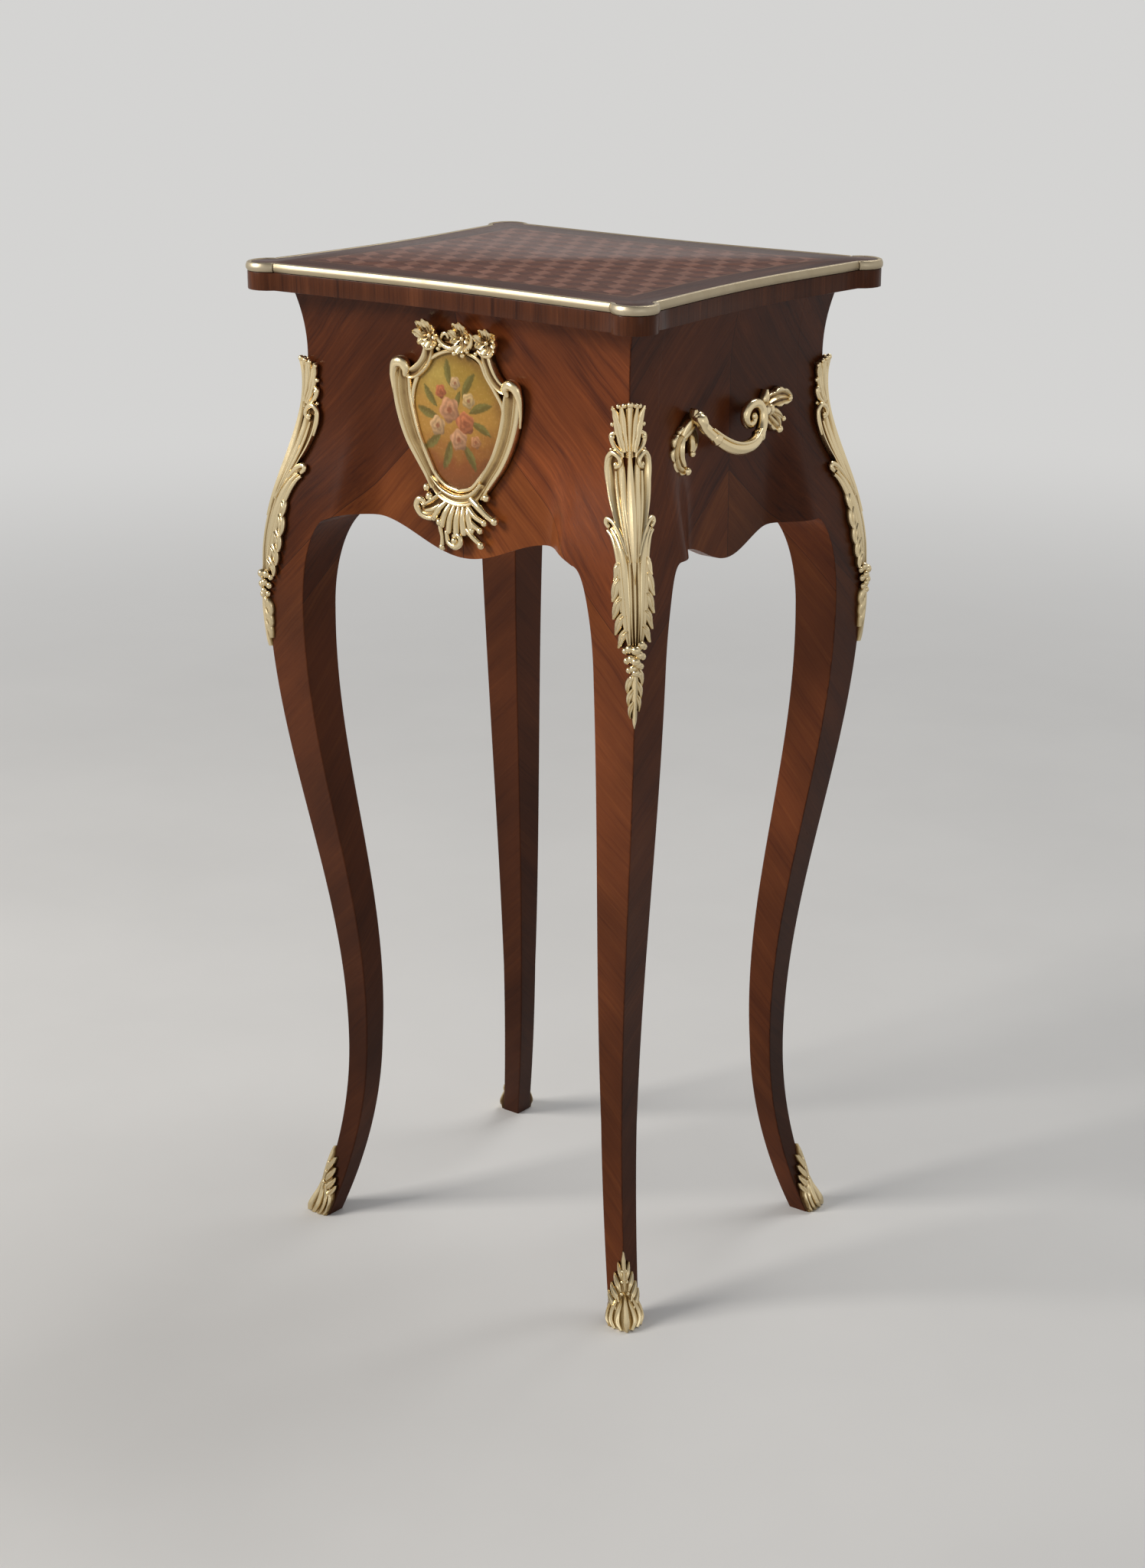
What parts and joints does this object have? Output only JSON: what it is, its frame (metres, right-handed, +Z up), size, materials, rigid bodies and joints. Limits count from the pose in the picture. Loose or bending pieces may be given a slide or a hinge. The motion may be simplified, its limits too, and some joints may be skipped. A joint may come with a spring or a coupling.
{
  "type": "work table",
  "caption": "Small period-style work table with a hinged, eared lid over a fitted well, cabriole legs, gilt metal mounts, a framed front plaque and side handles.",
  "frame": {"origin": "on the floor, under the middle of the lid", "axes": "+Z up, the front with the plaque faces -Y, +X to the right of someone who faces the front"},
  "size_m": [0.356, 0.2998, 0.7454],
  "materials": {
    "kingwood_veneer": "french polished veneer",
    "carcase_oak": "raw sawn wood",
    "tray_walnut": "waxed",
    "gilt_bronze": "cast, chased and gilt, satin with burnished highlights",
    "hinge_brass": "drawn brass, dulled",
    "silvered_glass": "silvered plate glass",
    "plaque_enamel": "painted and glazed"
  },
  "bodies": {
    "case": {"leg_back_right": "kingwood_veneer", "leg_back_left": "kingwood_veneer", "leg_front_left": "kingwood_veneer", "leg_front_right": "kingwood_veneer", "front_panel": "kingwood_veneer", "back_panel": "kingwood_veneer", "right_panel": "kingwood_veneer", "left_panel": "kingwood_veneer", "well_bottom": "carcase_oak", "bearer_front": "carcase_oak", "bearer_back": "carcase_oak", "bearer_right": "carcase_oak", "bearer_left": "carcase_oak", "tray_ledge_front": "carcase_oak", "tray_ledge_back": "carcase_oak", "tray_floor": "tray_walnut", "tray_front": "tray_walnut", "tray_back": "tray_walnut", "tray_left": "tray_walnut", "tray_right": "tray_walnut", "tray_long_divider": "tray_walnut", "tray_cross_divider_left": "tray_walnut", "tray_cross_divider_right": "tray_walnut", "chute_back_right": "gilt_bronze", "shoe_back_right": "gilt_bronze", "chute_back_left": "gilt_bronze", "shoe_back_left": "gilt_bronze", "chute_front_left": "gilt_bronze", "shoe_front_left": "gilt_bronze", "chute_front_right": "gilt_bronze", "shoe_front_right": "gilt_bronze", "plaque_frame": "gilt_bronze", "handle_right": "gilt_bronze", "handle_left": "gilt_bronze", "hinge_case_leaf_left": "hinge_brass", "hinge_pin_left": "hinge_brass", "hinge_case_leaf_right": "hinge_brass", "hinge_pin_right": "hinge_brass", "handle_nut_right_front": "hinge_brass", "handle_nut_right_back": "hinge_brass", "handle_nut_left_front": "hinge_brass", "handle_nut_left_back": "hinge_brass", "plaque": "plaque_enamel"},
    "lid": {"lid_board": "kingwood_veneer", "rim_front": "gilt_bronze", "rim_ear_front_right": "gilt_bronze", "rim_right": "gilt_bronze", "rim_ear_back_right": "gilt_bronze", "rim_back": "gilt_bronze", "rim_ear_back_left": "gilt_bronze", "rim_left": "gilt_bronze", "rim_ear_front_left": "gilt_bronze", "mirror": "silvered_glass", "mirror_frame_front": "kingwood_veneer", "mirror_frame_back": "kingwood_veneer", "mirror_frame_left": "kingwood_veneer", "mirror_frame_right": "kingwood_veneer", "hinge_lid_leaf_left": "hinge_brass", "hinge_lid_leaf_right": "hinge_brass"}
  },
  "joints": [
    {"name": "lid_hinge", "type": "hinge", "parent": "case", "child": "lid", "pos_m": [0, 0.1244, 0.7257], "axis": [-1, 0, 0], "range_deg": [0, 95]}
  ]
}
